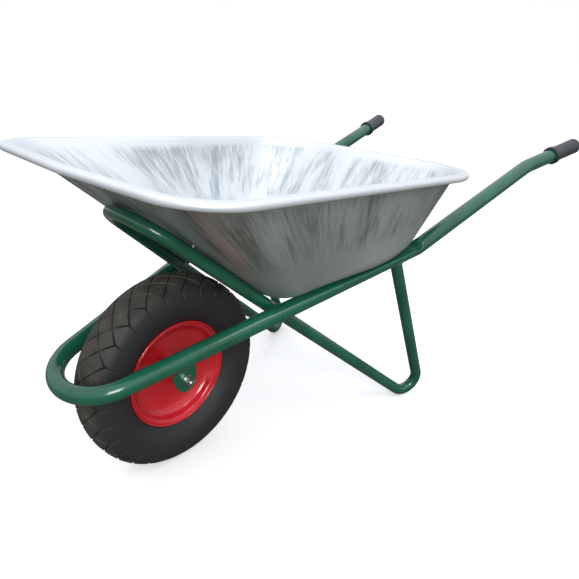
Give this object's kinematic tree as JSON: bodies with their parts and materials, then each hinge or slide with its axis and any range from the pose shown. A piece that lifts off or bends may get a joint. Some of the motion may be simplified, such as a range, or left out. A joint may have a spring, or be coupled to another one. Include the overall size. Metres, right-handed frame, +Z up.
{
  "type": "wheelbarrow",
  "caption": "Wheelbarrow with a deep galvanised steel tray on a bent tube frame, two grips, and a pneumatic wheel that turns on an axle bolt.",
  "frame": {"origin": "on the ground, below the middle of the barrow's box", "axes": "+X from the wheel to the handles, +Y to the right hand of a person who holds the grips facing the wheel, +Z up"},
  "size_m": [1.353, 0.637, 0.6349],
  "materials": {
    "green_enamel": "gloss green enamel on steel tube",
    "red_enamel": "gloss red enamel on pressed steel",
    "galvanised_sheet": "galvanised, deep-drawn, with vertical draw marks",
    "zinc_plate": "bright zinc plate",
    "tyre_rubber": "matt black, dusty in its grooves",
    "butyl_rubber": "matt black",
    "bearing_nylon": "natural nylon",
    "grip_plastic": "satin dark grey"
  },
  "bodies": {
    "frame": {"axle_bolt": "zinc_plate", "axle_nut": "zinc_plate", "axle_plate_left": "green_enamel", "axle_plate_right": "green_enamel", "axle_washer_left": "zinc_plate", "axle_washer_right": "zinc_plate", "grip_left": "grip_plastic", "grip_right": "grip_plastic", "leg_support_tube": "green_enamel", "main_frame_tube": "green_enamel", "spacer_sleeve_left": "zinc_plate", "spacer_sleeve_right": "zinc_plate", "tray": "galvanised_sheet", "tray_bolt_front_left": "zinc_plate", "tray_bolt_front_right": "zinc_plate", "tray_bolt_rear_left": "zinc_plate", "tray_bolt_rear_right": "zinc_plate", "tray_washer_front_left": "zinc_plate", "tray_washer_front_right": "zinc_plate", "tray_washer_rear_left": "zinc_plate", "tray_washer_rear_right": "zinc_plate"},
    "wheel": {"tyre": "tyre_rubber", "inner_tube": "butyl_rubber", "valve_stem": "butyl_rubber", "valve_cap": "zinc_plate", "rim_half_left": "red_enamel", "rim_half_right": "red_enamel", "hub_tube": "red_enamel", "hub_bearing_left": "bearing_nylon", "hub_bearing_right": "bearing_nylon"}
  },
  "joints": [
    {"name": "wheel_spin", "type": "hinge", "parent": "frame", "child": "wheel", "pos_m": [-0.4321, 0, 0.2], "axis": [0, 1, 0], "continuous": true}
  ]
}
